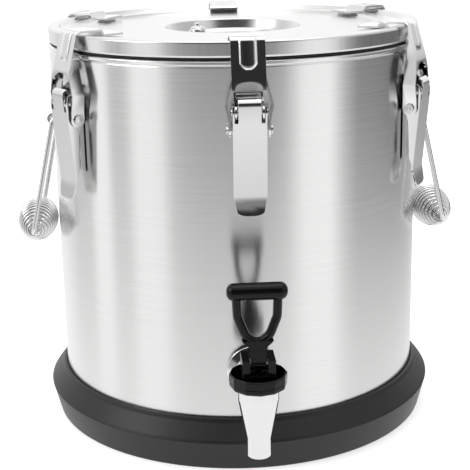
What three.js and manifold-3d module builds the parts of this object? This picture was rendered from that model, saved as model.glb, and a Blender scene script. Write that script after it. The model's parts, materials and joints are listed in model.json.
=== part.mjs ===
// Insulated stainless drinks barrel with a tap: double-wall barrel on a black foot,
// clamped lift-off lid, six over-centre latches, two bail handles and a drip-free tap.
// Millimetres, +Z up, origin at the centre of the underside, tap towards -Y.
import * as THREE from 'three';
import { mergeVertices } from 'three/addons/utils/BufferGeometryUtils.js';
import Module from 'manifold-3d';

const wasm = await Module();
wasm.setup();

// ---------- driving dimensions ----------
const BODY_R = 150;            // outside radius of the barrel wall
const SHEET = 0.8;             // steel sheet of the barrel walls
const GAP = 0.4;               // air between pieces that touch
const FLOOR_T = 5;             // floor thickness of the foot
const BOTTOM_T = 1;            // bottom of the outer shell
const FOOT_TOP = 40;           // height where the barrel leaves the foot
const FOOT_R_LOW = 158;        // foot radius at the floor
const FOOT_R_MAX = 164;        // foot radius at its edge line
const FOOT_EDGE_Z = 24;
const RIM_Z = 311.6;           // top of the barrel rim
const INSIDE_R = 127;          // inside radius of the liner
const INSIDE_FLOOR = 62;       // height of the liner floor
const LID_LOW = 313.6;         // lower edge of the lid skirt
const LID_TOP = 325.2;         // top of the lid's outer bead
const LID_BEAD_IN = 141;       // inner radius of the bead
const LID_FLAT = 323;          // flat zone that the hook pads press on
const LID_STEP_R = 120;        // radius of the lid's inner step
const LID_LOW_FLAT = 321;      // annulus inside the step
const DISH_R = 56;
const DISH_Z = 311.5;
const PLUG_R = 123.5;          // lid pan that enters the barrel mouth
const PLUG_LOW = 299;
const VENT_X = -28;
const VENT_Y = 27;
const LATCH_ANGLES = {
  front: 0, front_right: 60, back_right: 120, back: 180, back_left: 240, front_left: 303,
};
const PIVOT = { r: 160, z: 276.5 };      // latch lever on its base
const HOOK_PIVOT = { r: 157, z: 263.5 }; // hook on the lever
const PIN_R = 2;
const HOLE_R = 2.35;
const EAR_T = 9;               // inner side of the base ears
const LEVER_T = 10.8;          // inner side of the lever flanges
const ARM_T = 13.4;            // inner side of the hook arms
const KNEE_T = 17.4;           // the hook arms are widest at their knee
const LATCH_SHEET = 1.4;
const HOOK_HALF = 12.3;        // half width of the hook plate
const BAIL_PIVOT = { r: 147, z: 256 };
const BAIL_HALF = 50;          // half distance between the two bail rods
const GRIP = { r: 167.8, z: 163, radius: 16.6, half: 42, endRadius: 5.5 };
const ROD_R = 2;
const TAP_R = 203;             // distance of the tap's upright axis from the barrel axis
const SHANK_Z = 79;
const SPOUT_END = 34;
const BAR_Z = 158.3;           // centre of the handle bar
const HANDLE_PIN_Z = 104.5;
const RING_STEPS = 48;         // facets of the large round pieces

// ---------- geometry helpers ----------
function closed(geometry) {
  const source = geometry.clone();
  source.deleteAttribute('normal');
  source.deleteAttribute('uv');
  const merged = mergeVertices(source, 1e-4);
  const position = merged.attributes.position;
  const corner = [new THREE.Vector3(), new THREE.Vector3(), new THREE.Vector3()];
  const triangles = [];
  let volume = 0;
  for (let i = 0; i < merged.index.count; i += 3) {
    const ids = [0, 1, 2].map((k) => merged.index.getX(i + k));
    if (ids[0] === ids[1] || ids[1] === ids[2] || ids[0] === ids[2]) continue;
    ids.forEach((id, k) => corner[k].fromBufferAttribute(position, id));
    volume += corner[0].dot(corner[1].clone().cross(corner[2]));
    triangles.push(ids);
  }
  const ordered = volume < 0 ? triangles.map(([a, b, c]) => [a, c, b]) : triangles;
  const result = new THREE.BufferGeometry();
  result.setAttribute('position', new THREE.BufferAttribute(new Float32Array(position.array), 3));
  result.setIndex(ordered.flat());
  return result;
}

function solid(geometry) {
  const shape = closed(geometry);
  const vertProperties = shape.attributes.position.array;
  const triVerts = new Uint32Array(shape.index.array);
  return new wasm.Manifold(new wasm.Mesh({ numProp: 3, vertProperties, triVerts }));
}

function surface(manifold) {
  const mesh = manifold.getMesh();
  const result = new THREE.BufferGeometry();
  result.setAttribute('position', new THREE.BufferAttribute(new Float32Array(mesh.vertProperties), 3));
  result.setIndex([...mesh.triVerts]);
  return result;
}

const joined = (pieces) => pieces.reduce((whole, piece) => whole.add(piece));
const cut = (piece, tools) => tools.reduce((rest, tool) => rest.subtract(tool), piece);

function polygon(points) {
  return new THREE.Shape(points.map(([x, y]) => new THREE.Vector2(x, y)));
}

// revolved piece: profile of [radius, z] points that closes on itself or on the axis
function lathe(points, steps = RING_STEPS) {
  const first = points[0];
  const last = points[points.length - 1];
  const ends_on_axis = first[0] === 0 && last[0] === 0;
  const loop = ends_on_axis ? points : [...points, first];
  const profile = loop.map(([r, z]) => new THREE.Vector2(r, z));
  return new THREE.LatheGeometry(profile, steps).rotateX(Math.PI / 2);
}

// outline in the radius-height plane, given width along X between low and high
function sideSheet(shape, low, high, curveSegments = 5) {
  const options = { depth: high - low, bevelEnabled: false, curveSegments };
  const geometry = new THREE.ExtrudeGeometry(shape, options);
  const basis = new THREE.Matrix4().makeBasis(
    new THREE.Vector3(0, -1, 0), new THREE.Vector3(0, 0, 1), new THREE.Vector3(-1, 0, 0));
  return geometry.applyMatrix4(basis).translate(high, 0, 0);
}

// outline in the X-Z plane, given depth outwards from the barrel axis
function frontSheet(shape, innerR, outerR, curveSegments = 6) {
  const options = { depth: outerR - innerR, bevelEnabled: false, curveSegments };
  const geometry = new THREE.ExtrudeGeometry(shape, options);
  const basis = new THREE.Matrix4().makeBasis(
    new THREE.Vector3(1, 0, 0), new THREE.Vector3(0, 0, 1), new THREE.Vector3(0, -1, 0));
  return geometry.applyMatrix4(basis).translate(0, -innerR, 0);
}

// round bar along X between two positions, at a place in the radius-height plane
function crossPin(place, radius, low, high, steps = 10) {
  const bar = new THREE.CylinderGeometry(radius, radius, high - low, steps);
  return bar.rotateZ(Math.PI / 2).translate((low + high) / 2, -place.r, place.z);
}

// round bar that points outwards from the barrel axis
function outwardBar(z, radius, innerR, outerR, steps = 24) {
  const bar = new THREE.CylinderGeometry(radius, radius, outerR - innerR, steps);
  return bar.translate(0, -(innerR + outerR) / 2, z);
}

function box(x0, x1, y0, y1, z0, z1) {
  return new THREE.BoxGeometry(x1 - x0, y1 - y0, z1 - z0)
    .translate((x0 + x1) / 2, (y0 + y1) / 2, (z0 + z1) / 2);
}

function tubeAlong(points, radius, steps, sides = 8) {
  const ring = [];
  for (let i = 0; i < sides; i += 1) {
    const angle = (2 * Math.PI * i) / sides;
    ring.push([radius * Math.cos(angle), radius * Math.sin(angle)]);
  }
  const path = new THREE.CurvePath();
  for (let i = 1; i < points.length; i += 1) path.add(new THREE.LineCurve3(points[i - 1], points[i]));
  const curve = new THREE.CatmullRomCurve3(path.getSpacedPoints(steps), false, 'centripetal');
  return new THREE.ExtrudeGeometry(polygon(ring), { steps, bevelEnabled: false, extrudePath: curve });
}

// ---------- materials ----------
const FINISH = {
  brushed_steel: { color: 0xc9c9c7, roughness: 0.34, metalness: 1 },
  polished_steel: { color: 0xdcdcdc, roughness: 0.12, metalness: 1 },
  chrome: { color: 0xe6e6e6, roughness: 0.06, metalness: 1 },
  black_rubber: { color: 0x1b1b1c, roughness: 0.62, metalness: 0 },
  black_gloss: { color: 0x0b0b0c, roughness: 0.16, metalness: 0 },
  foam: { color: 0xe8dcae, roughness: 0.9, metalness: 0 },
  silicone: { color: 0xd9d6cf, roughness: 0.5, metalness: 0 },
};

function named(name, geometry, finish) {
  const mesh = new THREE.Mesh(geometry, new THREE.MeshStandardMaterial(FINISH[finish]));
  mesh.name = name;
  return mesh;
}

// ---------- barrel ----------
function barrel() {
  const inner = BODY_R - SHEET;
  const mouth = INSIDE_R + SHEET + GAP + SHEET;
  const shellLow = FLOOR_T + GAP;
  const shell = lathe([
    [0, shellLow], [BODY_R, shellLow], [BODY_R, RIM_Z - 4], [BODY_R + 0.7, RIM_Z - 3],
    [BODY_R + 0.7, RIM_Z - 1.2], [BODY_R - 0.6, RIM_Z], [mouth, RIM_Z], [mouth, RIM_Z - SHEET],
    [inner, RIM_Z - SHEET - 1], [inner, shellLow + BOTTOM_T], [0, shellLow + BOTTOM_T],
  ]);
  const liner = lathe([
    [0, INSIDE_FLOOR - SHEET], [INSIDE_R - 8, INSIDE_FLOOR - SHEET],
    [INSIDE_R + SHEET, INSIDE_FLOOR + 7.2],
    [INSIDE_R + SHEET, RIM_Z], [INSIDE_R, RIM_Z], [INSIDE_R, INSIDE_FLOOR + 7.6],
    [INSIDE_R - 8.2, INSIDE_FLOOR], [0, INSIDE_FLOOR],
  ]);
  const foamOut = inner - GAP;
  const foamIn = INSIDE_R + SHEET + GAP;
  const foamTop = RIM_Z - SHEET - 1 - GAP;
  const foamLow = shellLow + BOTTOM_T + GAP;
  const foamFloor = INSIDE_FLOOR - SHEET - GAP;
  const foamWall = lathe([
    [foamOut, foamFloor], [foamOut, foamTop], [foamIn, foamTop], [foamIn, foamFloor + 8],
    [foamIn - 8, foamFloor],
  ]);
  const baseTop = foamFloor - GAP;
  const foamBase = lathe([[0, foamLow], [foamOut, foamLow], [foamOut, baseTop], [0, baseTop]]);
  const foot = lathe([
    [0, 0], [FOOT_R_LOW - 1.5, 0], [FOOT_R_LOW, 1.5], [FOOT_R_MAX - 0.4, FOOT_EDGE_Z - 2],
    [FOOT_R_MAX, FOOT_EDGE_Z], [FOOT_R_MAX - 0.8, FOOT_EDGE_Z + 1.6], [BODY_R + 3, FOOT_TOP - 1.6],
    [BODY_R + 2, FOOT_TOP], [BODY_R + GAP, FOOT_TOP], [BODY_R + GAP, FLOOR_T], [0, FLOOR_T],
  ]);
  const tapHole = () => solid(outwardBar(SHANK_Z, 8.4, INSIDE_R - 12, BODY_R + 6));
  return [
    named('outer_shell', surface(solid(shell).subtract(tapHole())), 'brushed_steel'),
    named('inner_liner', surface(solid(liner).subtract(tapHole())), 'brushed_steel'),
    named('foam_wall', surface(solid(foamWall).subtract(tapHole())), 'foam'),
    named('foam_base', closed(foamBase), 'foam'),
    named('rubber_foot', closed(foot), 'black_rubber'),
  ];
}

// ---------- lid ----------
function lid() {
  const cover = lathe([
    [0, DISH_Z], [DISH_R - 6, DISH_Z], [DISH_R - 1.5, LID_LOW_FLAT - 1.5], [DISH_R + 1, LID_LOW_FLAT],
    [LID_STEP_R - 1.5, LID_LOW_FLAT], [LID_STEP_R, LID_FLAT], [LID_BEAD_IN - 1, LID_FLAT],
    [LID_BEAD_IN + 1, LID_TOP], [BODY_R - 1.5, LID_TOP], [BODY_R, LID_TOP - 1.5],
    [BODY_R, LID_LOW], [BODY_R - 1, LID_LOW],
    [BODY_R - 1, LID_TOP - 2.2], [LID_BEAD_IN + 2, LID_TOP - 1.2], [LID_BEAD_IN, LID_FLAT - 1.2],
    [LID_STEP_R + 1, LID_FLAT - 1.2], [LID_STEP_R - 1, LID_LOW_FLAT - 1.2],
    [DISH_R + 1.6, LID_LOW_FLAT - 1.2], [DISH_R - 0.4, LID_LOW_FLAT - 2.4], [DISH_R - 5, DISH_Z - 1.2],
    [0, DISH_Z - 1.2],
  ]);
  const panTop = LID_LOW + 1;
  const pan = lathe([
    [0, PLUG_LOW], [PLUG_R - 3, PLUG_LOW], [PLUG_R, PLUG_LOW + 3],
    [PLUG_R, LID_LOW], [BODY_R - 1.4, LID_LOW], [BODY_R - 1.4, panTop],
    [PLUG_R - 1, panTop], [PLUG_R - 1, PLUG_LOW + 3.4], [PLUG_R - 3.4, PLUG_LOW + 1],
    [0, PLUG_LOW + 1],
  ]);
  const foamIn = PLUG_R - 1 - GAP;
  const foam = lathe([
    [0, PLUG_LOW + 1 + GAP], [foamIn - 3, PLUG_LOW + 1 + GAP], [foamIn, PLUG_LOW + 4.4],
    [foamIn, panTop + GAP], [BODY_R - 2, panTop + GAP], [BODY_R - 2, LID_FLAT - 2],
    [LID_STEP_R + 2, LID_FLAT - 2], [LID_STEP_R - 2, LID_LOW_FLAT - 2], [DISH_R + 3, LID_LOW_FLAT - 2],
    [DISH_R - 3, DISH_Z - 2], [0, DISH_Z - 2],
  ]);
  const gasket = lathe([
    [PLUG_R + GAP, RIM_Z + 0.3], [BODY_R - 0.8, RIM_Z + 0.3], [BODY_R - 0.8, LID_LOW - 0.3],
    [PLUG_R + GAP, LID_LOW - 0.3],
  ]);
  const ventHole = () => solid(new THREE.CylinderGeometry(3.4, 3.4, 60, 16)
    .rotateX(Math.PI / 2).translate(VENT_X, VENT_Y, DISH_Z));
  const ventSeat = lathe([
    [1.4, PLUG_LOW - 2], [3, PLUG_LOW - 2], [3, DISH_Z + GAP], [8, DISH_Z + GAP], [8, DISH_Z + 1.6],
    [5.4, DISH_Z + 2.2], [1.4, DISH_Z + 2.2],
  ], 14).translate(VENT_X, VENT_Y, 0);
  const capLow = DISH_Z + 2.2 + GAP;
  const ventCap = lathe([
    [0, capLow - 9], [1, capLow - 9], [1, capLow], [6.4, capLow], [7, capLow + 1.2], [5.5, capLow + 3.6],
    [2.6, capLow + 4.4], [2.2, capLow + 6.2], [0, capLow + 6.6],
  ], 14).translate(VENT_X, VENT_Y, 0);
  return [
    named('lid_cover', surface(solid(cover).subtract(ventHole())), 'brushed_steel'),
    named('lid_pan', surface(solid(pan).subtract(ventHole())), 'brushed_steel'),
    named('lid_foam', surface(solid(foam).subtract(ventHole())), 'foam'),
    named('lid_gasket', closed(gasket), 'black_rubber'),
    named('vent_seat', closed(ventSeat), 'chrome'),
    named('vent_cap', closed(ventCap), 'chrome'),
  ];
}

// ---------- latches ----------
function latchBase() {
  const wallR = BODY_R + GAP + 0.1;
  const back = polygon([[wallR, 222], [wallR + 1.2, 222], [wallR + 1.2, 289], [wallR, 289]]);
  const plate = sideSheet(back, -10.4, 10.4);
  const ear = new THREE.Shape();
  ear.moveTo(wallR, 222);
  ear.lineTo(wallR + 3.4, 225);
  ear.lineTo(wallR + 3.4, 267);
  ear.lineTo(155.8, 273);
  ear.absarc(PIVOT.r, PIVOT.z, 5.5, THREE.MathUtils.degToRad(-140), THREE.MathUtils.degToRad(100), false);
  ear.lineTo(wallR + 1.2, 289);
  ear.lineTo(wallR, 289);
  const ears = [1, -1].map((side) => {
    const edges = [side * EAR_T, side * (EAR_T + LATCH_SHEET)].sort((a, b) => a - b);
    return solid(sideSheet(ear, edges[0], edges[1]));
  });
  const hole = solid(crossPin(PIVOT, HOLE_R, -15, 15));
  return surface(cut(joined([solid(plate), ...ears]), [hole]));
}

function latchLever() {
  const face = polygon([
    [163, 201.6], [160, 215.6], [165.8, 281], [165, 284.3], [162, 286.3], [161.4, 285], [163.4, 283.2],
    [164.4, 280.8], [158.6, 215.6], [161.6, 201.4],
  ]);
  const outline = new THREE.Shape();
  outline.moveTo(-12.2, 292);
  outline.lineTo(-12.2, 215.6);
  outline.lineTo(-10, 204.6);
  outline.quadraticCurveTo(-9.4, 201.8, 0, 201.4);
  outline.quadraticCurveTo(9.4, 201.8, 10, 204.6);
  outline.lineTo(12.2, 215.6);
  outline.lineTo(12.2, 292);
  const front = solid(sideSheet(face, -14, 14)).intersect(solid(frontSheet(outline, 155, 175)));
  const flange = new THREE.Shape();
  flange.moveTo(159.4, 217);
  flange.lineTo(164.9, 276);
  flange.lineTo(163.2, 281.4);
  flange.lineTo(PIVOT.r, 282.5);
  flange.absarc(PIVOT.r, PIVOT.z, 6, Math.PI / 2, Math.PI, false);
  flange.lineTo(153.4, 259);
  flange.lineTo(155.4, 251);
  flange.lineTo(156.6, 224);
  const flanges = [1, -1].map((side) => {
    const edges = [side * LEVER_T, side * (LEVER_T + LATCH_SHEET)].sort((a, b) => a - b);
    return solid(sideSheet(flange, edges[0], edges[1]));
  });
  const slots = [1, -1].map((side) => {
    const edges = [side * 8.2, side * LEVER_T].sort((a, b) => a - b);
    return solid(box(edges[0], edges[1], -180, -158, 269.5, 292));
  });
  const holes = [PIVOT, HOOK_PIVOT].map((place) => solid(crossPin(place, HOLE_R, -15, 15)));
  const trim = [1, -1].map((side) => {
    const edges = [side * LEVER_T, side * 14].sort((a, b) => a - b);
    return solid(box(edges[0], edges[1], -180, -158, 276, 292));
  });
  const trimmedFront = cut(front, trim);
  return surface(cut(joined([trimmedFront, ...flanges]), [...slots, ...holes]));
}

function latchHook() {
  const plate = polygon([
    [113, 323.4], [113, 325], [129.2, 325], [131.6, 328.6], [150.4, 328.6], [153.8, 325.6], [161.2, 300],
    [161.9, 292], [160.5, 292], [159.8, 299.7], [152.4, 325], [149.8, 327], [132.6, 327], [130, 323.4],
  ]);
  const arch = new THREE.Shape();
  arch.moveTo(-9.5, 280);
  arch.lineTo(9.5, 280);
  arch.lineTo(9.5, 293.5);
  arch.absellipse(0, 293.5, 9.5, 4.5, 0, Math.PI, false, 0);
  arch.lineTo(-9.5, 280);
  const plateSolid = solid(sideSheet(plate, -HOOK_HALF, HOOK_HALF))
    .subtract(solid(frontSheet(arch, 155, 175)));
  const side = new THREE.Shape();
  side.moveTo(153.6, 320);
  side.lineTo(160.9, 300);
  side.lineTo(161.9, 292);
  side.lineTo(162, 284);
  side.lineTo(162.5, 264.5);
  side.absarc(HOOK_PIVOT.r, HOOK_PIVOT.z, 5.6, THREE.MathUtils.degToRad(10), Math.PI, true);
  side.lineTo(152.4, 286);
  side.lineTo(152.4, 300);
  side.lineTo(151.8, 312);
  const outline = solid(sideSheet(side, -20, 20));
  const arms = [1, -1].map((hand) => {
    const strip = [
      [HOOK_HALF, 321], [HOOK_HALF, 301], [KNEE_T, 281.5], [ARM_T + 1.4, 269], [ARM_T + 1.4, 255],
      [ARM_T, 255], [ARM_T, 269], [KNEE_T - 1.5, 281.5], [HOOK_HALF - 1.5, 300.6], [HOOK_HALF - 1.5, 321],
    ].map(([x, z]) => [hand * x, z]);
    return solid(frontSheet(polygon(strip), 150.5, 168)).intersect(outline);
  });
  const hole = solid(crossPin(HOOK_PIVOT, HOLE_R, -20, 20));
  return surface(cut(joined([plateSolid, ...arms]), [hole]));
}

function rivet(place, half, headR, headT) {
  const bar = solid(crossPin(place, PIN_R, -half, half));
  const heads = [-1, 1].map((side) => {
    const edges = [side * half, side * (half - headT)].sort((a, b) => a - b);
    return solid(crossPin(place, headR, edges[0], edges[1]));
  });
  return surface(joined([bar, ...heads]));
}

function latches() {
  const base = latchBase();
  const lever = latchLever();
  const hook = latchHook();
  const pivotPin = rivet(PIVOT, 13.1, 3.2, 0.6);
  const hookPin = rivet(HOOK_PIVOT, 16.6, 3.6, 1.3);
  return Object.entries(LATCH_ANGLES).map(([place, angle]) => {
    const group = new THREE.Group();
    group.rotation.z = THREE.MathUtils.degToRad(angle);
    group.add(
      named(`latch_${place}_base`, base, 'polished_steel'),
      named(`latch_${place}_lever`, lever, 'polished_steel'),
      named(`latch_${place}_hook`, hook, 'polished_steel'),
      named(`latch_${place}_pivot_pin`, pivotPin, 'polished_steel'),
      named(`latch_${place}_hook_pin`, hookPin, 'polished_steel'),
    );
    return group;
  });
}

// ---------- bail handles, drawn at the front and turned to the sides ----------
function bailRod() {
  const at = (x, place) => new THREE.Vector3(x, -place.r, place.z);
  const corner = 6;
  const low = { r: GRIP.r, z: GRIP.z };
  const above = { r: GRIP.r - 1.7, z: GRIP.z + corner };
  const points = [
    at(-BAIL_HALF + 9, BAIL_PIVOT), at(-BAIL_HALF, BAIL_PIVOT), at(-BAIL_HALF - 1.6, above),
    at(-BAIL_HALF + corner, low), at(BAIL_HALF - corner, low), at(BAIL_HALF + 1.6, above),
    at(BAIL_HALF, BAIL_PIVOT), at(BAIL_HALF - 9, BAIL_PIVOT),
  ];
  return closed(tubeAlong(points, ROD_R, 40));
}

function bailGrip() {
  const bore = ROD_R + 0.5;
  const steps = 8;
  const outer = [];
  for (let i = 0; i <= steps; i += 1) {
    const share = (2 * i) / steps - 1;
    outer.push([GRIP.endRadius + (GRIP.radius - GRIP.endRadius) * (1 - share ** 2), share * GRIP.half]);
  }
  const body = lathe([[bore, -GRIP.half], ...outer, [bore, GRIP.half]], 16);
  return closed(body.rotateY(Math.PI / 2).translate(0, -GRIP.r, GRIP.z));
}

function bailBracket(side) {
  const wallR = Math.sqrt(BODY_R ** 2 - BAIL_HALF ** 2);
  const x = side * (BAIL_HALF - 5);
  const lug = new THREE.Shape();
  lug.moveTo(wallR - 2, BAIL_PIVOT.z - 9);
  lug.lineTo(BAIL_PIVOT.r, BAIL_PIVOT.z - 4.6);
  lug.absarc(BAIL_PIVOT.r, BAIL_PIVOT.z, 4.6, -Math.PI / 2, Math.PI / 2, false);
  lug.lineTo(wallR - 2, BAIL_PIVOT.z + 9);
  const ear = solid(sideSheet(lug, x - 1.5, x + 1.5));
  const plate = solid(box(-9, 9, -1.5, 0, -12, 12).translate(0, 0, BAIL_PIVOT.z));
  const turn = Math.atan2(x, Math.sqrt(BODY_R ** 2 - x ** 2));
  const placed = plate.rotate([0, 0, THREE.MathUtils.radToDeg(turn)])
    .translate([Math.sin(turn) * (BODY_R + 0.5), -Math.cos(turn) * (BODY_R + 0.5), 0]);
  const clearance = solid(lathe([[0, 200], [BODY_R + 0.5, 200], [BODY_R + 0.5, 300], [0, 300]]));
  const hole = solid(crossPin(BAIL_PIVOT, ROD_R + 0.4, x - 6, x + 6));
  return surface(cut(joined([ear, placed]), [hole, clearance]));
}

function bails() {
  const rod = bailRod();
  const grip = bailGrip();
  return [['right', 90], ['left', -90]].map(([hand, angle]) => {
    const group = new THREE.Group();
    group.rotation.z = THREE.MathUtils.degToRad(angle);
    group.add(
      named(`bail_${hand}_rod`, rod, 'polished_steel'),
      named(`bail_${hand}_grip`, grip, 'polished_steel'),
      named(`bail_${hand}_bracket_a`, bailBracket(-1), 'polished_steel'),
      named(`bail_${hand}_bracket_b`, bailBracket(1), 'polished_steel'),
    );
    return group;
  });
}

// ---------- tap ----------
const upright = (geometry) => geometry.translate(0, -TAP_R, 0);

function tapBody() {
  const outside = upright(lathe([
    [0, 87], [15.2, 87], [15.2, 79], [8.7, 48], [8.7, SPOUT_END + 1], [7.9, SPOUT_END], [0, SPOUT_END],
  ], 32));
  const bore = upright(lathe([
    [0, 95], [12, 95], [12, 70], [6.4, 52], [6.4, 30], [0, 30],
  ], 24));
  const shank = outwardBar(SHANK_Z, 7.6, INSIDE_R - 13, TAP_R - 4);
  const shankBore = outwardBar(SHANK_Z, 5, INSIDE_R - 15, TAP_R - 8, 16);
  return surface(cut(joined([solid(outside), solid(shank)]), [solid(bore), solid(shankBore)]));
}

function ringOnShank(innerR, outerR, from, to, steps = 20) {
  const ring = lathe([[innerR, from], [outerR, from], [outerR, to], [innerR, to]], steps);
  return closed(ring.rotateX(Math.PI / 2).translate(0, 0, SHANK_Z));
}

function tapCollar() {
  const flange = upright(lathe([
    [2.6, 87.6], [19.4, 87.6], [21, 89.2], [21, 96.4], [19.6, 98.4], [2.6, 98.4],
  ], 36));
  const block = box(-11.8, 11.8, -TAP_R - 10.5, -TAP_R + 10.5, 97, 110.6);
  const slot = box(-6.4, 6.4, -TAP_R - 12, -TAP_R + 12, 99.2, 112);
  const stemHole = upright(lathe([[0, 80], [2.6, 80], [2.6, 120], [0, 120]], 16));
  const pinHole = crossPin({ r: TAP_R, z: HANDLE_PIN_Z }, 1.9, -14, 14);
  return surface(cut(joined([solid(flange), solid(block)]), [solid(slot), solid(stemHole), solid(pinHole)]));
}

function tapHandle() {
  const outer = new THREE.Shape();
  outer.moveTo(-5, 113);
  outer.lineTo(-7, 119);
  outer.quadraticCurveTo(-15.5, 125, -16.2, 138);
  outer.lineTo(-16.6, 152);
  outer.lineTo(16.6, 152);
  outer.lineTo(16.2, 138);
  outer.quadraticCurveTo(15.5, 125, 7, 119);
  outer.lineTo(5, 113);
  const opening = new THREE.Path();
  opening.moveTo(-11, 151.4);
  opening.lineTo(-10.6, 138);
  opening.quadraticCurveTo(-9, 125.5, 0, 124.2);
  opening.quadraticCurveTo(9, 125.5, 10.6, 138);
  opening.lineTo(11, 151.4);
  outer.holes.push(opening);
  const loop = solid(frontSheet(outer, TAP_R - 4.2, TAP_R + 4.2, 6));
  const bar = crossPin({ r: TAP_R, z: BAR_Z }, 6.6, -21.5, 21.5, 16);
  const neck = box(-5.6, 5.6, -TAP_R - 4.4, -TAP_R + 4.4, 107, 116);
  const foot = crossPin({ r: TAP_R, z: HANDLE_PIN_Z + 0.4 }, 4.6, -5.6, 5.6, 16);
  const hole = crossPin({ r: TAP_R, z: HANDLE_PIN_Z }, 1.9, -14, 14);
  const whole = joined([loop, solid(bar), solid(neck), solid(foot)]);
  return surface(cut(whole, [solid(hole)]));
}

function tapSpring() {
  const turns = 4;
  const points = [];
  for (let i = 0; i <= turns * 10; i += 1) {
    const angle = (2 * Math.PI * i) / 10;
    const height = 72 + (13.5 * i) / (turns * 10);
    points.push(new THREE.Vector3(5 * Math.cos(angle), 5 * Math.sin(angle) - TAP_R, height));
  }
  return closed(tubeAlong(points, 0.6, turns * 10, 6));
}

function tap() {
  const stem = upright(lathe([
    [0, 60], [2, 60], [2, 96.4], [0, 96.4],
  ], 14));
  const seat = upright(lathe([
    [2.4, 62], [7, 57.4], [9.4, 63.5], [9.4, 66], [7.4, 69.8], [2.4, 69.8],
  ], 24));
  const handlePin = crossPin({ r: TAP_R, z: HANDLE_PIN_Z }, 1.5, -11.6, 11.6);
  return [
    named('tap_body', tapBody(), 'chrome'),
    named('tap_wall_flange', ringOnShank(8, 19.5, BODY_R + 2.8, BODY_R + 7), 'chrome'),
    named('tap_outer_washer', ringOnShank(8, 17, BODY_R + 0.5, BODY_R + 2.4), 'black_rubber'),
    named('tap_inner_washer', ringOnShank(8, 10.5, INSIDE_R - 4, INSIDE_R - 2), 'silicone'),
    named('tap_inner_nut', ringOnShank(9.2, 12.4, INSIDE_R - 9.5, INSIDE_R - 4.4, 6), 'polished_steel'),
    named('tap_collar', tapCollar(), 'black_gloss'),
    named('tap_handle', tapHandle(), 'black_gloss'),
    named('tap_handle_pin', closed(handlePin), 'polished_steel'),
    named('tap_stem', closed(stem), 'polished_steel'),
    named('tap_seat', closed(seat), 'silicone'),
    named('tap_spring', tapSpring(), 'polished_steel'),
  ];
}

const dispenser = new THREE.Group();
dispenser.add(...barrel(), ...lid(), ...latches(), ...bails(), ...tap());

export default dispenser;
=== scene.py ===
"""Looks of an insulated stainless drinks barrel with a tap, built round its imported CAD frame. Metres."""
import json
import math

import bpy
from mathutils import Matrix, Vector


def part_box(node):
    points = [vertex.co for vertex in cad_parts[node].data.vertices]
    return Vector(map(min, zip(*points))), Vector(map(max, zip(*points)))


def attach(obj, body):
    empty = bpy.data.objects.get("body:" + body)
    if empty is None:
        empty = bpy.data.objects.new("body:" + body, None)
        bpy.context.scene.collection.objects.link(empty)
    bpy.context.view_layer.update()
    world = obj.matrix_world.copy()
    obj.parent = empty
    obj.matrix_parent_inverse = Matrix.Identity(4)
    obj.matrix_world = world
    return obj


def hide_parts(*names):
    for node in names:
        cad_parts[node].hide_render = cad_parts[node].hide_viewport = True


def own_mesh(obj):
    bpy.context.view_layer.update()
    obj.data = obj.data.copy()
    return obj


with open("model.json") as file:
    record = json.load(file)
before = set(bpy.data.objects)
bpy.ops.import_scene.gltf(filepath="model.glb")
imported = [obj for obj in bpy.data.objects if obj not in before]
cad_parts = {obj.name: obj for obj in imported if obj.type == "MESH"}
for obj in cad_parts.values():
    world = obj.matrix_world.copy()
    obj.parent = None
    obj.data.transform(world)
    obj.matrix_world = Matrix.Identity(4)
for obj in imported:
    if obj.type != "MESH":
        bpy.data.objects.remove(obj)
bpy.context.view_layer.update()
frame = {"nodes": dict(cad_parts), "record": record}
MM = 0.001

# ---------- places taken from the frame ----------
SLOTS = {row["node"]: row["material_slot"] for row in frame["record"]["subparts"]}
WALL_LOW, WALL_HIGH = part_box("outer_shell")
FOOT_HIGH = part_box("rubber_foot")[1]
LID_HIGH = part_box("lid_cover")[1]
LINER_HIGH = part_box("inner_liner")[1]
COLLAR_LOW, COLLAR_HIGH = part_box("tap_collar")
FLANGE_LOW, FLANGE_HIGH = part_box("tap_wall_flange")
HANDLE_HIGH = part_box("tap_handle")[1]
LID_RADIUS = LID_HIGH.x
WALL_RADIUS = LID_RADIUS
TAP_Y = (COLLAR_LOW.y + COLLAR_HIGH.y) / 2
TAP_CENTRE = (0.0, TAP_Y)
SHANK_Z = (FLANGE_LOW.z + FLANGE_HIGH.z) / 2
LATCHES = {"front": 0, "front_right": 60, "back_right": 120, "back": 180, "back_left": 240,
           "front_left": 303}
BAILS = {"right": 90, "left": -90}

# ---------- sizes shared by several pieces; a pivot is [distance out from the axis, height] ----------
SHEET = 0.8 * MM
LID_SHEET = 1.1 * MM
LEVER_PIVOT = (160 * MM, 276.5 * MM)
HOOK_PIVOT = (157 * MM, 263.5 * MM)
BAIL_PIVOT = (147 * MM, 256 * MM)
BAIL_HALF = 50 * MM
GRIP_CENTRE = (167.8 * MM, 163 * MM)
ROD_RADIUS = 2 * MM
COLLAR_LOW_Z = 87.8 * MM
COLLAR_TOP_Z = 98.4 * MM
HUB = 0.5 * MM  # closed pieces are turned from this small disc at their middle

# ---------- studio: brightness by angle from the camera, degrees, left is minus ----------
HEADING = 3.8
FLOOR_GLOW = 0.95
SURROUND_STRENGTH = 1.12
LEVEL_PANELS = (
    (-180, 0.85), (-140, 0.85), (-118, 0.5), (-103, 0.5), (-97, 0.98), (-86, 0.98),
    (-80, 0.45), (-70, 0.45), (-62, 0.92), (-46, 0.92), (-38, 0.4), (-20, 0.28),
    (14, 0.2), (30, 0.42), (42, 0.98), (60, 1.0), (70, 0.4), (80, 0.12), (112, 0.12),
    (135, 0.2), (165, 0.5), (180, 0.85))
HIGH_PANELS = (
    (-180, 1.0), (-140, 0.95), (-110, 0.7), (-60, 0.75), (-42, 0.6), (-32, 0.04), (0, 0.02),
    (30, 0.04), (42, 0.6), (60, 0.85), (80, 0.5), (120, 0.6), (150, 0.95), (180, 1.0))


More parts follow.
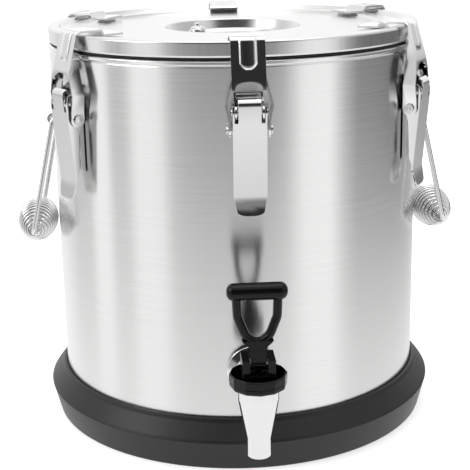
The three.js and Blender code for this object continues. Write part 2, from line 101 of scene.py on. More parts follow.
# ---------- modelling helpers ----------
def clear_selection():
    if bpy.context.object and bpy.context.object.mode != "OBJECT":
        bpy.ops.object.mode_set(mode="OBJECT")
    bpy.ops.object.select_all(action="DESELECT")


def choose(piece):
    clear_selection()
    piece.select_set(True)
    bpy.context.view_layer.objects.active = piece


def settle(piece):
    choose(piece)
    bpy.ops.object.transform_apply(location=True, rotation=True, scale=True)


def round_over(piece, width, segments=3, angle=40):
    choose(piece)
    edge = piece.modifiers.new("round_over", "BEVEL")
    edge.width, edge.segments, edge.limit_method = width, segments, "ANGLE"
    edge.angle_limit = math.radians(angle)
    edge.use_clamp_overlap = True
    bpy.ops.object.modifier_apply(modifier=edge.name)


def smooth(piece, angle=35):
    """Smooth shading that keeps the flat faces flat."""
    choose(piece)
    bpy.ops.object.shade_smooth_by_angle(angle=math.radians(angle))
    even = piece.modifiers.new("even_normals", "WEIGHTED_NORMAL")
    even.keep_sharp = True
    bpy.ops.object.modifier_apply(modifier=even.name)


def tidy(piece, merge=1e-6):
    """Merges doubles, turns the normals out and leaves edit mode."""
    choose(piece)
    bpy.ops.object.mode_set(mode="EDIT")
    bpy.ops.mesh.select_all(action="SELECT")
    bpy.ops.mesh.remove_doubles(threshold=merge)
    bpy.ops.mesh.normals_make_consistent(inside=False)
    bpy.ops.object.mode_set(mode="OBJECT")


def fillets(points, steps=5):
    """Profile points [radius, z, fillet]; each fillet becomes an arc."""
    profile = []
    for i, (r, z, fillet) in enumerate(points):
        here = Vector((r, z))
        if not fillet:
            profile.append((r, z))
            continue
        before = (Vector(points[i - 1][:2]) - here).normalized()
        after = (Vector(points[(i + 1) % len(points)][:2]) - here).normalized()
        half = before.angle(after) / 2
        reach = fillet / math.tan(half)
        centre = here + (before + after).normalized() * (fillet / math.sin(half))
        start, end = here + before * reach - centre, here + after * reach - centre
        sweep = start.angle_signed(end)
        for k in range(steps + 1):
            turned_by = Matrix.Rotation(-sweep * k / steps, 2)
            spot = centre + turned_by @ start
            profile.append((max(spot.x, 0.0), spot.y))
    return profile


def turned(name, profile, centre=(0.0, 0.0), segments=160, loop=False):
    """A piece turned round an upright axis: a circle extruded from point to point of its profile."""
    clear_selection()
    cx, cy = centre
    points = [p for p in profile if p[0] > 1e-6]
    first_r, first_z = points[0]
    bpy.ops.mesh.primitive_circle_add(vertices=segments, radius=first_r, location=(cx, cy, first_z))
    piece = bpy.context.object
    piece.name = piece.data.name = name
    settle(piece)
    bpy.ops.object.mode_set(mode="EDIT")
    bpy.ops.mesh.select_all(action="SELECT")
    if not loop:
        bpy.ops.mesh.edge_face_add()
    route = points + ([points[0]] if loop else [])
    for (r0, z0), (r1, z1) in zip(route, route[1:]):
        bpy.ops.mesh.extrude_edges_move()
        bpy.ops.transform.translate(value=(0, 0, z1 - z0))
        bpy.ops.transform.resize(value=(r1 / r0, r1 / r0, 1), center_override=(cx, cy, z1))
    if not loop:
        bpy.ops.mesh.edge_face_add()
    bpy.ops.object.mode_set(mode="OBJECT")
    tidy(piece)
    smooth(piece)
    return piece


def refined(node, name, width, segments=3, angle=50, merge=2e-5):
    """A CAD node's shape with its flats merged and its edges rounded."""
    piece = frame["nodes"][node].copy()
    piece.data = piece.data.copy()
    piece.name = piece.data.name = name
    piece.parent = None
    piece.matrix_world = Matrix.Identity(4)
    bpy.context.scene.collection.objects.link(piece)
    piece.hide_render = piece.hide_viewport = False
    choose(piece)
    bpy.ops.object.mode_set(mode="EDIT")
    bpy.ops.mesh.select_all(action="SELECT")
    bpy.ops.mesh.remove_doubles(threshold=merge)
    bpy.ops.mesh.dissolve_limited(angle_limit=math.radians(1))
    bpy.ops.object.mode_set(mode="OBJECT")
    piece.data.materials.clear()
    if width:
        round_over(piece, width, segments, angle)
    smooth(piece)
    return piece


def wire(name, points, radius, closed_ends=True, sides=6, cyclic=False):
    """A round wire along a smooth run of points, made a mesh."""
    clear_selection()
    curve = bpy.data.curves.new(name, "CURVE")
    curve.dimensions, curve.bevel_depth, curve.bevel_resolution = "3D", radius, sides
    curve.use_fill_caps = closed_ends
    spline = curve.splines.new("POLY")
    spline.points.add(len(points) - 1)
    for point, place in zip(spline.points, points):
        point.co = (*place, 1)
    spline.use_cyclic_u = cyclic
    piece = bpy.data.objects.new(name, curve)
    bpy.context.scene.collection.objects.link(piece)
    choose(piece)
    bpy.ops.object.convert(target="MESH")
    piece = bpy.context.object
    piece.name = piece.data.name = name
    tidy(piece)
    smooth(piece, 50)
    return piece


def bent(points, radius, steps=6):
    """Rounds the corners of a run of points with arcs."""
    route = [Vector(points[0])]
    for before, here, after in zip(points, points[1:], points[2:]):
        here = Vector(here)
        a, b = (Vector(before) - here), (Vector(after) - here)
        half = a.angle(b) / 2
        reach = min(radius / math.tan(half), a.length * 0.48, b.length * 0.48)
        start, end = here + a.normalized() * reach, here + b.normalized() * reach
        for k in range(steps + 1):
            t = k / steps
            route.append(start * (1 - t) ** 2 + here * 2 * t * (1 - t) + end * t ** 2)
    route.append(Vector(points[-1]))
    return route


def joined(name, pieces):
    clear_selection()
    for piece in pieces:
        piece.select_set(True)
    bpy.context.view_layer.objects.active = pieces[0]
    bpy.ops.object.join()
    whole = bpy.context.object
    whole.name = whole.data.name = name
    return whole


def turn_about_axis(piece, degrees):
    piece.matrix_world = Matrix.Rotation(math.radians(degrees), 4, "Z") @ piece.matrix_world
    settle(piece)


def place(piece, body, slot, material, *nodes):
    piece.data.materials.clear()
    piece.data.materials.append(material)
    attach(piece, body)
    if nodes:
        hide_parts(*nodes)


# ---------- materials ----------
def shader(name, color, metallic, roughness):
    material = bpy.data.materials.new(name)
    material.use_nodes = True
    tree = material.node_tree
    base = tree.nodes["Principled BSDF"]
    base.inputs["Base Color"].default_value = (*color, 1)
    base.inputs["Metallic"].default_value = metallic
    base.inputs["Roughness"].default_value = roughness
    return material, tree, base


def tinted(color, share):
    """A colour made lighter or darker, never past white."""
    return tuple(min(channel * share, 1) for channel in color)


def ramp(tree, source, stops):
    node = tree.nodes.new("ShaderNodeValToRGB")
    ends = node.color_ramp.elements
    while len(ends) < len(stops):
        ends.new(0.5)
    for end, (spot, color) in zip(ends, stops):
        end.position = spot
        end.color = (*color, 1) if isinstance(color, tuple) else (color, color, color, 1)
    tree.links.new(source, node.inputs["Fac"])
    return node.outputs["Color"]


def grain(tree, scale, detail=4.0, roughness=0.6):
    """Noise stretched by scale along the object's own axes."""
    where = tree.nodes.new("ShaderNodeTexCoord")
    stretch = tree.nodes.new("ShaderNodeMapping")
    stretch.inputs["Scale"].default_value = scale
    noise = tree.nodes.new("ShaderNodeTexNoise")
    noise.inputs["Scale"].default_value = 1.0
    noise.inputs["Detail"].default_value = detail
    noise.inputs["Roughness"].default_value = roughness
    tree.links.new(where.outputs["Object"], stretch.inputs["Vector"])
    tree.links.new(stretch.outputs["Vector"], noise.inputs["Vector"])
    return noise.outputs["Fac"]


def bump(tree, base, height, strength, distance):
    node = tree.nodes.new("ShaderNodeBump")
    node.inputs["Strength"].default_value = strength
    node.inputs["Distance"].default_value = distance
    tree.links.new(height, node.inputs["Height"])
    tree.links.new(node.outputs["Normal"], base.inputs["Normal"])


def brushed_steel(name, color, low, high, scale, depth, anisotropic=0.0, tangent=None):
    """Steel with fine parallel brushing: streaks change its colour, gloss and height a little."""
    material, tree, base = shader(name, color, 1.0, (low + high) / 2)
    streaks = grain(tree, scale)
    cloud = grain(tree, (9, 9, 9), detail=2.0)
    shade = ramp(tree, streaks, [(0.3, tinted(color, 0.96)), (0.7, tinted(color, 1.03))])
    tree.links.new(shade, base.inputs["Base Color"])
    gloss = tree.nodes.new("ShaderNodeMapRange")
    gloss.inputs["To Min"].default_value, gloss.inputs["To Max"].default_value = low, high
    blend = tree.nodes.new("ShaderNodeMath")
    blend.operation = "MULTIPLY_ADD"
    blend.inputs[1].default_value = 0.35
    tree.links.new(cloud, blend.inputs[0])
    tree.links.new(streaks, blend.inputs[2])
    tree.links.new(blend.outputs[0], gloss.inputs["Value"])
    tree.links.new(gloss.outputs["Result"], base.inputs["Roughness"])
    bump(tree, base, streaks, 0.35, depth)
    if anisotropic:
        base.inputs["Anisotropic"].default_value = anisotropic
        base.inputs["Anisotropic Rotation"].default_value = 0.25
        direction = tree.nodes.new("ShaderNodeTangent")
        direction.direction_type, direction.axis = "RADIAL", tangent
        tree.links.new(direction.outputs["Tangent"], base.inputs["Tangent"])
    return material


def bright_metal(name, color, low, high, depth=0.00002, scale=(120, 120, 120)):
    """Pressed or plated bright metal: handling marks in its gloss and a very slight waviness."""
    material, tree, base = shader(name, color, 1.0, (low + high) / 2)
    marks = grain(tree, scale, detail=5.0)
    gloss = tree.nodes.new("ShaderNodeMapRange")
    gloss.inputs["From Min"].default_value, gloss.inputs["From Max"].default_value = 0.35, 0.7
    gloss.inputs["To Min"].default_value, gloss.inputs["To Max"].default_value = low, high
    tree.links.new(marks, gloss.inputs["Value"])
    tree.links.new(gloss.outputs["Result"], base.inputs["Roughness"])
    shade = ramp(tree, marks, [(0.3, tinted(color, 0.96)), (0.7, color)])
    tree.links.new(shade, base.inputs["Base Color"])
    bump(tree, base, marks, 0.25, depth)
    return material


def moulded(name, color, low, high, scale, depth, shine=0.5):
    """Moulded rubber or plastic with a fine surface texture."""
    material, tree, base = shader(name, color, 0.0, (low + high) / 2)
    speck = grain(tree, scale, detail=3.0)
    gloss = tree.nodes.new("ShaderNodeMapRange")
    gloss.inputs["To Min"].default_value, gloss.inputs["To Max"].default_value = low, high
    tree.links.new(speck, gloss.inputs["Value"])
    tree.links.new(gloss.outputs["Result"], base.inputs["Roughness"])
    shade = ramp(tree, speck, [(0.3, tinted(color, 0.8)), (0.7, tinted(color, 1.2))])
    tree.links.new(shade, base.inputs["Base Color"])
    bump(tree, base, speck, 0.3, depth)
    base.inputs["Specular IOR Level"].default_value = shine
    return material


BODY_STEEL = brushed_steel(
    "brushed_wall_steel", (0.80, 0.80, 0.795), 0.15, 0.25, (12, 12, 2600), 0.00001,
    anisotropic=0.8, tangent="Z")
LID_STEEL = brushed_steel("satin_lid_steel", (0.76, 0.76, 0.755), 0.16, 0.26, (14, 1600, 14), 0.00001)
INSIDE_STEEL = brushed_steel("satin_inner_steel", (0.74, 0.74, 0.73), 0.22, 0.36, (12, 12, 500), 0.00003)
LATCH_STEEL = bright_metal("pressed_bright_steel", (0.86, 0.86, 0.86), 0.06, 0.16, scale=(90, 90, 30))
WIRE_STEEL = bright_metal("drawn_wire_steel", (0.80, 0.80, 0.80), 0.10, 0.22, scale=(200, 200, 200))
PIN_STEEL = bright_metal("turned_pin_steel", (0.75, 0.75, 0.75), 0.14, 0.28, scale=(300, 300, 300))
CHROME = bright_metal("chrome_plate", (0.80, 0.80, 0.80), 0.03, 0.09, scale=(60, 60, 60))
BLACK_GLOSS = moulded(
    "black_gloss_plastic", (0.004, 0.004, 0.004), 0.08, 0.16, (400, 400, 400), 0.00001, shine=0.22)
FOOT_RUBBER = moulded(
    "satin_black_rubber", (0.012, 0.012, 0.0125), 0.34, 0.5, (900, 900, 900), 0.00005, shine=0.42)
SEAL_RUBBER = moulded("matt_seal_rubber", (0.008, 0.008, 0.008), 0.6, 0.8, (900, 900, 900), 0.00003)
SILICONE = moulded("milky_silicone", (0.62, 0.60, 0.57), 0.4, 0.6, (500, 500, 500), 0.00002)
FOAM = moulded("cream_foam", (0.78, 0.70, 0.46), 0.8, 0.95, (300, 300, 300), 0.0004)
BY_SLOT = {
    "brushed_body": BODY_STEEL, "brushed_lid": LID_STEEL, "satin_inside": INSIDE_STEEL,
    "latch_steel": LATCH_STEEL, "wire_steel": WIRE_STEEL, "pin_steel": PIN_STEEL,
    "chrome": CHROME, "black_gloss": BLACK_GLOSS, "foot_rubber": FOOT_RUBBER,
    "seal_rubber": SEAL_RUBBER, "silicone": SILICONE, "foam": FOAM,
}


def finish_cad_nodes():
    """Every carried-over CAD node takes the material of its slot."""
    for row in frame["record"]["subparts"]:
        node = frame["nodes"][row["node"]]
        node.data.materials.clear()
        node.data.materials.append(BY_SLOT[row["material_slot"]])


# ---------- barrel ----------
def make_wall():
    r, top, low = WALL_RADIUS, WALL_HIGH.z, WALL_LOW.z
    mouth = LINER_HIGH.x + 0.0012
    bead, inside, bottom = r + 0.7 * MM, r - SHEET, low + 1 * MM
    profile = fillets([
        (HUB, low, 0), (r, low, 0), (r, top - 5.2 * MM, 0.6 * MM),
        (r - 0.5 * MM, top - 4.2 * MM, 0.4 * MM), (bead, top - 3.3 * MM, 0.9 * MM),
        (bead, top - 0.9 * MM, 0.9 * MM), (r - 1 * MM, top, 0.8 * MM),
        (mouth, top, 0), (mouth, top - SHEET, 0), (inside, top - 1.8 * MM, 0), (inside, bottom, 0),
        (HUB, bottom, 0),
    ])
    wall = turned("barrel_wall", profile, segments=256)
    place(wall, "barrel", "brushed_body", BODY_STEEL, "outer_shell")


def make_foot():
    edge, low_r = FOOT_HIGH.x, FOOT_HIGH.x - 6 * MM
    r, top = WALL_RADIUS, FOOT_HIGH.z
    inside, recess, floor = r + 0.3 * MM, 0.6 * MM, 5 * MM
    profile = fillets([
        (HUB, recess, 0), (r - 4 * MM, recess, 0), (low_r - 4 * MM, 0, 0), (low_r, 0, 1.6 * MM),
        (edge - 0.6 * MM, 21.5 * MM, 0), (edge, 23.6 * MM, 0.9 * MM),
        (edge - 1.2 * MM, 25.6 * MM, 1.2 * MM), (r + 4.2 * MM, top - 3.4 * MM, 2.2 * MM),
        (r + 3.0 * MM, top - 0.6 * MM, 0.7 * MM), (r + 1.2 * MM, top, 0.8 * MM),
        (inside, top - 1.2 * MM, 0.3 * MM), (inside, floor, 0), (HUB, floor, 0),
    ])
    foot = turned("foot_cup", profile, segments=256)
    place(foot, "barrel", "foot_rubber", FOOT_RUBBER, "rubber_foot")


# ---------- lid ----------
def make_lid():
    r, top, t = LID_RADIUS, LID_HIGH.z, LID_SHEET
    skirt = 313.6 * MM
    flat, step, dish = top - 2.2 * MM, top - 4.2 * MM, top - 13.7 * MM
    outside = [
        (52 * MM, dish, 3.5 * MM), (55.5 * MM, step, 1.6 * MM), (118.5 * MM, step, 0.9 * MM),
        (120 * MM, flat, 0.9 * MM), (140 * MM, flat, 0.8 * MM), (141.8 * MM, top, 0.9 * MM),
        (r, top, 1.8 * MM), (r, skirt + 1.4 * MM, 0.5 * MM), (r - 0.3 * MM, skirt, 0.3 * MM),
    ]
    inside = [
        (r - t, skirt, 0), (r - t, top - 2.4 * MM, 0.8 * MM), (142.4 * MM, top - t, 0),
        (141 * MM, flat - t, 0), (121 * MM, flat - t, 0), (119 * MM, step - t, 0),
        (56.8 * MM, step - t, 0), (53 * MM, dish - t, 0),
    ]
    profile = fillets([(HUB, dish, 0)] + outside + inside + [(HUB, dish - t, 0)])
    lid = turned("lid_top", profile, segments=256)
    place(lid, "lid", "brushed_lid", LID_STEEL, "lid_cover")


def make_gasket():
    low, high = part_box("lid_gasket")
    outer, inner = high.x, 124.5 * MM
    profile = fillets([
        (inner, low.z, 0), (outer, low.z, 0.5 * MM), (outer, high.z, 0.5 * MM), (inner, high.z, 0)])
    gasket = turned("lid_seal", profile, segments=256, loop=True)
    place(gasket, "lid", "seal_rubber", SEAL_RUBBER, "lid_gasket")


def make_vent():
    low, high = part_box("vent_cap")
    centre = ((low.x + high.x) / 2, (low.y + high.y) / 2)
    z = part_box("vent_seat")[1].z + 0.3 * MM
    cap = turned("vent_button", fillets([
        (1 * MM, low.z, 0), (1 * MM, z, 0), (6.6 * MM, z, 0.4 * MM), (7 * MM, z + 1.3 * MM, 0.6 * MM),
        (5.4 * MM, z + 3.4 * MM, 0.8 * MM), (2.5 * MM, z + 4.2 * MM, 0.8 * MM),
        (2.2 * MM, high.z, 0.7 * MM), (0.2 * MM, high.z, 0)]), centre, 48)
    place(cap, "vent_cap", "chrome", CHROME, "vent_cap")
    seat_low, seat_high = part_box("vent_seat")
    seat = turned("vent_base", fillets([
        (1.4 * MM, seat_low.z, 0), (3 * MM, seat_low.z, 0), (3 * MM, seat_high.z - 1.8 * MM, 0),
        (8 * MM, seat_high.z - 1.8 * MM, 0.3 * MM), (8 * MM, seat_high.z - 0.6 * MM, 0.5 * MM),
        (5.4 * MM, seat_high.z, 0.3 * MM), (1.4 * MM, seat_high.z, 0)]), centre, 48, loop=True)
    place(seat, "lid", "chrome", CHROME, "vent_seat")


# ---------- latches ----------
def plate_route():
    """Outer face of the hook plate from the tab, over the bend and down, as [distance out, height]."""
    return [(147.4 * MM, 328.4 * MM), (150.4 * MM, 328.4 * MM), (152.4 * MM, 327.1 * MM),
            (153.8 * MM, 325.6 * MM), (157.3 * MM, 313.7 * MM), (159.4 * MM, 306.4 * MM)]


def embossed_rib():
    """A rounded rib pressed out of the hook plate: a grid laid along it and raised to a soft channel."""
    route = bent([(r, 0, z) for r, z in plate_route()], 3 * MM, 5)
    lengths = [0.0]
    for a, b in zip(route, route[1:]):
        lengths.append(lengths[-1] + (b - a).length)
    total = lengths[-1]
    half, height, thickness = 6.2 * MM, 1.3 * MM, 0.5 * MM
    starts_at, full_after = 2.8 * MM, 4 * MM
    sunk_first, sunk_less = 0.35 * MM, 0.2 * MM
    across, along = 20, 48
    clear_selection()
    bpy.ops.mesh.primitive_grid_add(x_subdivisions=across, y_subdivisions=along, size=1)
    rib = bpy.context.object
    for vertex in rib.data.vertices:
        x, share = vertex.co.x * 2 * half, vertex.co.y + 0.5
        distance = share * total
        i = max(k for k in range(len(lengths)) if lengths[k] <= distance + 1e-9)
        i = min(i, len(route) - 2)
        step = route[i + 1] - route[i]
        spot = route[i] + step.normalized() * (distance - lengths[i])
        outward = Vector((-step.z, 0, step.x)).normalized()
        if outward.z < 0 or outward.x < -0.2:
            outward = -outward
        beyond = max(0.0, distance - (total - half))
        radius = math.hypot(x, beyond) / half
        swell = min(1.0, max(0.0, distance - starts_at) / full_after)
        crown = max(0.0, 1 - radius ** 2) ** 0.55
        rise = height * swell * crown - (sunk_first - sunk_less * swell)
        spot = spot + outward * rise
        vertex.co = (x, -spot.x, spot.z)
    solidify = rib.modifiers.new("sheet", "SOLIDIFY")
    solidify.thickness, solidify.offset = thickness, 0
    choose(rib)
    bpy.ops.object.modifier_apply(modifier=solidify.name)
    return rib


def rivet_heads(pivot, half, radius, rise):
    """Domed rivet heads on both ends of a pin, at the front of the barrel."""
    heads = []
    for side in (-1, 1):
        clear_selection()
        bpy.ops.mesh.primitive_uv_sphere_add(segments=24, ring_count=12, radius=radius,
                                             location=(side * half, -pivot[0], pivot[1]))
        head = bpy.context.object
        bpy.ops.transform.resize(value=(rise / radius, 1, 1))
        settle(head)
        heads.append(head)
    return heads


def make_pressing(spot, angle, part, body, edge):
    """A latch's base, lever or hook plate; the hook plate carries the rib."""
    node, name = f"latch_{spot}_{part}", f"{spot}_latch_{part}"
    piece = refined(node, name, edge)
    if part == "hook":
        rib = embossed_rib()
        turn_about_axis(rib, angle)
        piece = joined(name, [piece, rib])
        smooth(piece)
    place(piece, body, "latch_steel", LATCH_STEEL, node)


def make_pin(spot, angle, part, body, pivot, half, radius):
    """A latch pin with a domed head on each end."""
    node, name = f"latch_{spot}_{part}", f"{spot}_latch_{part}"
    pin = refined(node, name, 0.15 * MM)
    heads = rivet_heads(pivot, half, radius, 0.7 * MM)
    for head in heads:
        turn_about_axis(head, angle)
    pin = joined(name, [pin] + heads)
    smooth(pin)
    place(pin, body, "pin_steel", PIN_STEEL, node)


def make_latches():
    for spot, angle in LATCHES.items():
        lever, hook = f"latch_{spot}_lever", f"latch_{spot}_hook"
        make_pressing(spot, angle, "base", "barrel", 0.3 * MM)
        make_pressing(spot, angle, "lever", lever, 0.35 * MM)
        make_pressing(spot, angle, "hook", hook, 0.35 * MM)
        make_pin(spot, angle, "pivot_pin", "barrel", LEVER_PIVOT, 12.9 * MM, 3.1 * MM)
        make_pin(spot, angle, "hook_pin", lever, HOOK_PIVOT, 16.0 * MM, 3.6 * MM)


# ---------- bail handles ----------
def rod_route():
    """The bail's rod from one bracket eye, down, across through the grip and up to the other eye."""
    (out, high), (grip_out, grip_high) = BAIL_PIVOT, GRIP_CENTRE
    half, splay, tail = BAIL_HALF, BAIL_HALF + 1 * MM, BAIL_HALF - 9 * MM
    corners = [
        (-tail, -out, high), (-half, -out, high), (-splay, -grip_out, grip_high),
        (splay, -grip_out, grip_high), (half, -out, high), (tail, -out, high)]
    return bent(corners, 5 * MM, 8)


def coil_route():
    """The grip's winding, widest in its middle."""
    grip_out, grip_high = GRIP_CENTRE
    turns, steps = 17, 30
    half, end_r, mid_r, fullness = 41 * MM, 3.6 * MM, 15.2 * MM, 2.1
    route = []
    for i in range(turns * steps + 1):
        share = 2 * i / (turns * steps) - 1
        around = 2 * math.pi * i / steps
        radius = end_r + (mid_r - end_r) * (1 - abs(share) ** fullness)
        y = -grip_out + radius * math.cos(around)
        z = grip_high + radius * math.sin(around)
        route.append(Vector((share * half, y, z)))
    return route


def make_bails():
    for hand, angle in BAILS.items():
        body = f"bail_{hand}"
        rod = wire(f"{hand}_bail_rod", rod_route(), ROD_RADIUS)
        turn_about_axis(rod, angle)
        place(rod, body, "wire_steel", WIRE_STEEL, f"bail_{hand}_rod")
        coil = wire(f"{hand}_bail_grip", coil_route(), 1.35 * MM, sides=3)
        turn_about_axis(coil, angle)
        place(coil, body, "wire_steel", WIRE_STEEL, f"bail_{hand}_grip")
        for end in ("a", "b"):
            node = f"bail_{hand}_bracket_{end}"
            bracket = refined(node, f"{hand}_bail_bracket_{end}", 0.4 * MM)
            place(bracket, "barrel", "wire_steel", WIRE_STEEL, node)


# ---------- tap ----------
def lying(piece):
    """Turns an upright piece to lie along the tap shank, its foot at the barrel axis."""
    piece.matrix_world = Matrix.Translation((0, 0, SHANK_Z)) @ Matrix.Rotation(math.pi / 2, 4, "X")
    settle(piece)
    return piece


def make_spout():
    spout = turned("spout", fillets([
        (6.4 * MM, 87 * MM, 0), (15.2 * MM, 87 * MM, 0.4 * MM), (15.2 * MM, 79 * MM, 3 * MM),
        (8.75 * MM, 48 * MM, 5 * MM), (8.6 * MM, 34 * MM, 1.0 * MM), (7.0 * MM, 34 * MM, 0.5 * MM),
        (6.4 * MM, 36 * MM, 0)]), TAP_CENTRE, 96, loop=True)
    shank = lying(turned("shank", [(7.6 * MM, 114 * MM), (7.6 * MM, 199 * MM)], segments=64))
    spout = joined("spout", [spout, shank])
    smooth(spout)
    place(spout, "barrel", "chrome", CHROME, "tap_body")
    flange = lying(turned("shank_flange", fillets([
        (8 * MM, 152.8 * MM, 0), (19.5 * MM, 152.8 * MM, 0.4 * MM), (19.5 * MM, 154.4 * MM, 0.9 * MM),
        (13.5 * MM, 157 * MM, 2 * MM), (8 * MM, 157 * MM, 0)]), segments=80, loop=True))
    place(flange, "barrel", "chrome", CHROME, "tap_wall_flange")


def cut_flat(piece, height, keep_above):
    """Cuts a piece level at a height, closes the cut and keeps one side."""
    choose(piece)
    bpy.ops.object.mode_set(mode="EDIT")
    bpy.ops.mesh.select_all(action="SELECT")
    bpy.ops.mesh.bisect(plane_co=(0, 0, height), plane_no=(0, 0, 1), use_fill=True,
                        clear_inner=keep_above, clear_outer=not keep_above)
    bpy.ops.object.mode_set(mode="OBJECT")


def make_bonnet():
    """The twelve-sided ring under the handle, with the block that holds the handle's pin."""
    low, top, bore = COLLAR_LOW_Z, COLLAR_TOP_Z, 2.8 * MM
    collar = turned("tap_bonnet", fillets([
        (bore, low, 0), (19.6 * MM, low, 0.6 * MM), (20.6 * MM, 89.2 * MM, 0.4 * MM),
        (20.6 * MM, 91.6 * MM, 0.2 * MM), (20.2 * MM, 92.0 * MM, 0.15 * MM),
        (20.9 * MM, 92.4 * MM, 0.2 * MM), (20.9 * MM, 97.4 * MM, 0.5 * MM),
        (20.0 * MM, top, 0.3 * MM), (bore, top, 0)]), TAP_CENTRE, 12, loop=True)
    round_over(collar, 0.5 * MM, 3, 20)
    block = refined("tap_collar", "bonnet_block", 0.0)
    cut_flat(block, top - 0.2 * MM, keep_above=True)
    round_over(block, 1.2 * MM, 4, 50)
    collar = joined("tap_bonnet", [collar, block])
    smooth(collar)
    place(collar, "barrel", "black_gloss", BLACK_GLOSS, "tap_collar")


def make_tap_spring():
    """The return spring round the valve stem."""
    low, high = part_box("tap_spring")
    wire_r, turns, steps = 0.6 * MM, 4, 24
    coil_r, pitch = (high.x - low.x) / 2 - wire_r, (high.z - low.z - 2 * wire_r) / turns
    points = []
    for i in range(turns * steps + 1):
        around = 2 * math.pi * i / steps
        points.append(Vector((coil_r * math.cos(around), TAP_Y + coil_r * math.sin(around),
                              low.z + wire_r + pitch * i / steps)))
    spring = wire("return_spring", points, wire_r, sides=4)
    place(spring, "tap_stem", SLOTS["tap_spring"], PIN_STEEL, "tap_spring")
    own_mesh(spring)


def handle_bar():
    radius, length = 6.3 * MM, 43 * MM
    clear_selection()
    bpy.ops.mesh.primitive_cylinder_add(
        vertices=48, radius=radius, depth=length, rotation=(0, math.pi / 2, 0),
        location=(0, TAP_Y, HANDLE_HIGH.z - 6.4 * MM))
    bar = bpy.context.object
    settle(bar)
    round_over(bar, 5.2 * MM, 8, 60)
    return bar


def handle_loop():
    """The open loop between the cross bar and the neck, a little deeper than it is wide."""
    y, thickness, depth_share = TAP_Y, 3.3 * MM, 1.25
    left_side = [(-14.6 * MM, y, 155 * MM), (-14.0 * MM, y, 140 * MM), (-8.6 * MM, y, 126 * MM)]
    right_side = [(-x, y, z) for x, y, z in reversed(left_side)]
    route = left_side + [(0, y, 119.6 * MM)] + right_side
    loop = wire("handle_loop", bent(route, 12 * MM, 8), thickness, sides=6)
    choose(loop)
    bpy.ops.object.mode_set(mode="EDIT")
    bpy.ops.mesh.select_all(action="SELECT")
    bpy.ops.transform.resize(value=(1, depth_share, 1), center_override=(0, y, 130 * MM))
    bpy.ops.object.mode_set(mode="OBJECT")
    return loop


def make_tap_handle():
    bar, loop = handle_bar(), handle_loop()
    neck = refined("tap_handle", "handle_neck", 0.0)
    cut_flat(neck, 123 * MM, keep_above=False)
    round_over(neck, 1.3 * MM, 4, 50)
    handle = joined("pull_handle", [bar, loop, neck])
    smooth(handle, 40)
    place(handle, "tap_handle", "black_gloss", BLACK_GLOSS, "tap_handle")


# ---------- studio ----------
def make_camera():
    """Slightly from the left of the tap, looking down at the lid's front edge."""
    distance, height = 6.5345 * WALL_RADIUS, 2.814 * WALL_RADIUS
    heading, aim_left = math.radians(-HEADING), math.radians(0.0797)
    look_down, lean = math.radians(15.974), math.radians(-1.083)
    data = bpy.data.cameras.new("camera")
    data.sensor_width = 36.0
    data.lens = 90.479
    camera = bpy.data.objects.new("camera", data)
    bpy.context.scene.collection.objects.link(camera)
    camera.location = (distance * math.sin(heading), -distance * math.cos(heading), height)
    turn = (Matrix.Rotation(heading + aim_left, 4, "Z")
            @ Matrix.Rotation(math.pi / 2 - look_down, 4, "X")
            @ Matrix.Rotation(lean, 4, "Z"))
    camera.rotation_euler = turn.to_euler()
    bpy.context.scene.camera = camera


def softbox(name, location, target, size, energy):
    light = bpy.data.lights.new(name, "AREA")
    light.shape, light.size, light.size_y, light.energy = "RECTANGLE", size[0], size[1], energy
    lamp = bpy.data.objects.new(name, light)
    bpy.context.scene.collection.objects.link(lamp)
    lamp.location = location
    lamp.rotation_euler = (Vector(target) - Vector(location)).to_track_quat("-Z", "Y").to_euler()


def sky_level(tree, stops, turn):
    """Brightness of the surround by compass angle, from (degrees, level) stops."""
    return ramp(tree, turn, [((degrees + 180) / 360, level) for degrees, level in stops])


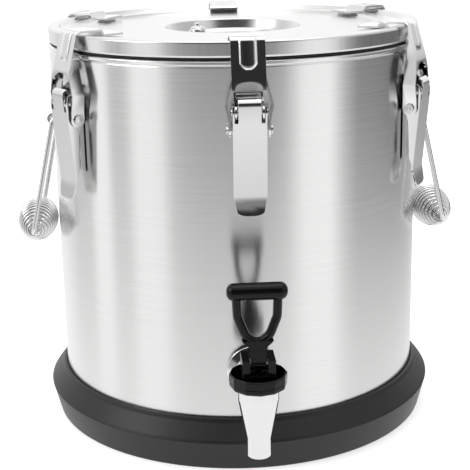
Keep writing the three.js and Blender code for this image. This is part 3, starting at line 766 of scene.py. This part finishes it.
def make_surround():
    """White backdrop for the camera; for reflections a studio of tall panels, dark behind the camera."""
    world = bpy.data.worlds.new("studio")
    bpy.context.scene.world = world
    world.use_nodes = True
    tree = world.node_tree
    tree.nodes.clear()
    where = tree.nodes.new("ShaderNodeTexCoord")
    split = tree.nodes.new("ShaderNodeSeparateXYZ")
    tree.links.new(where.outputs["Generated"], split.inputs["Vector"])

    def math_node(operation, a, b):
        node = tree.nodes.new("ShaderNodeMath")
        node.operation = operation
        for socket, value in zip(node.inputs, (a, b)):
            if isinstance(value, (int, float)):
                socket.default_value = value
            else:
                tree.links.new(value, socket)
        return node.outputs[0]

    def rise(low, high):
        node = tree.nodes.new("ShaderNodeMapRange")
        node.interpolation_type = "SMOOTHSTEP"
        node.inputs["From Min"].default_value = math.sin(math.radians(low))
        node.inputs["From Max"].default_value = math.sin(math.radians(high))
        tree.links.new(split.outputs["Z"], node.inputs["Value"])
        return node.outputs["Result"]

    def blend(share, below, above):
        node = tree.nodes.new("ShaderNodeMix")
        node.data_type = "RGBA"
        colour_a, colour_b = node.inputs[6], node.inputs[7]
        for socket, value in ((node.inputs["Factor"], share), (colour_a, below), (colour_b, above)):
            if isinstance(value, tuple):
                socket.default_value = value
            else:
                tree.links.new(value, socket)
        return node.outputs[2]

    angle = math_node("ARCTAN2", split.outputs["X"], math_node("MULTIPLY", split.outputs["Y"], -1.0))
    turn = math_node("MULTIPLY_ADD", angle, 1 / (2 * math.pi))
    turn.node.inputs[2].default_value = 0.5 + HEADING / 360
    level = sky_level(tree, LEVEL_PANELS, turn)
    high = sky_level(tree, HIGH_PANELS, turn)
    near_floor = blend(rise(-26, -8), (FLOOR_GLOW, FLOOR_GLOW, FLOOR_GLOW, 1), level)
    middle = blend(rise(-3, 6), near_floor, high)
    whole = blend(rise(40, 60), middle, (0.95, 0.95, 0.95, 1))
    surround = tree.nodes.new("ShaderNodeBackground")
    surround.inputs["Strength"].default_value = SURROUND_STRENGTH
    tree.links.new(whole, surround.inputs["Color"])
    backdrop = tree.nodes.new("ShaderNodeBackground")
    backdrop.inputs["Color"].default_value = (1, 1, 1, 1)
    backdrop.inputs["Strength"].default_value = 1.1
    path = tree.nodes.new("ShaderNodeLightPath")
    mix = tree.nodes.new("ShaderNodeMixShader")
    out = tree.nodes.new("ShaderNodeOutputWorld")
    tree.links.new(path.outputs["Is Camera Ray"], mix.inputs["Fac"])
    tree.links.new(surround.outputs[0], mix.inputs[1])
    tree.links.new(backdrop.outputs[0], mix.inputs[2])
    tree.links.new(mix.outputs[0], out.inputs["Surface"])


def make_floor():
    clear_selection()
    bpy.ops.mesh.primitive_plane_add(size=14, location=(0, 0, 0))
    floor = bpy.context.object
    floor.name = "studio_floor"
    material, tree, base = shader("pale_floor", (0.92, 0.92, 0.92), 0.0, 0.7)
    base.inputs["Emission Color"].default_value = (1, 1, 1, 1)
    base.inputs["Emission Strength"].default_value = 0.55
    floor.data.materials.append(material)
    floor.visible_glossy = False


def make_studio():
    make_surround()
    make_floor()
    softbox("left_softbox", (-1.5, -0.5, 1.2), (0, 0, 0.15), (0.8, 0.8), 7)
    softbox("top_softbox", (0.1, 0.2, 2.2), (0, 0, 0.2), (1.6, 1.6), 9)
    view = bpy.context.scene.view_settings
    view.view_transform, view.look = "Standard", "None"


make_camera()
finish_cad_nodes()
make_wall()
make_foot()
make_lid()
make_gasket()
make_vent()
make_latches()
make_bails()
make_spout()
make_bonnet()
make_tap_handle()
make_tap_spring()
make_studio()
